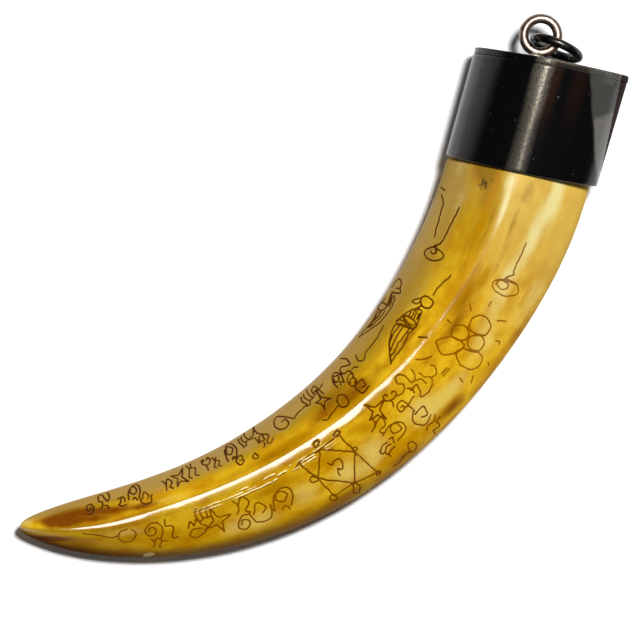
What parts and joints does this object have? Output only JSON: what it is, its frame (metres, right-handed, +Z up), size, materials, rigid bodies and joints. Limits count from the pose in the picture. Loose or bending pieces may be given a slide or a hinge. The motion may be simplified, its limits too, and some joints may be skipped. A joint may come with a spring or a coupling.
{
  "type": "carved boar tusk amulet",
  "caption": "Curved, polished animal tusk with engraved line work, capped by a dark metal sleeve with a bail and a loose jump ring, worn or hung from a cord as a pendant.",
  "frame": {"origin": "on the ground, under the middle of the amulet's box as it lies on its side", "axes": "+X from the tusk's tip to the cap, +Y towards the tusk's hollow side, +Z up, away from the side it lies on"},
  "size_m": [0.121, 0.043, 0.0161],
  "materials": {
    "tusk": "gloss",
    "blackened_cap": "satin",
    "cap_plate": "satin",
    "bail_wire": "polished",
    "jump_wire": "polished"
  },
  "bodies": {
    "amulet": {"tusk": "tusk", "cap_sleeve": "blackened_cap", "cap_plate": "cap_plate", "bail_ring": "bail_wire"},
    "jump_ring": {"jump_ring": "jump_wire"}
  },
  "joints": [
    {"name": "jump_ring_swing", "type": "hinge", "parent": "amulet", "child": "jump_ring", "pos_m": [0.05505, 0.01347, 0.0069], "axis": [-0.8844, -0.4333, 0.1736], "range_deg": [-22, 178]}
  ]
}
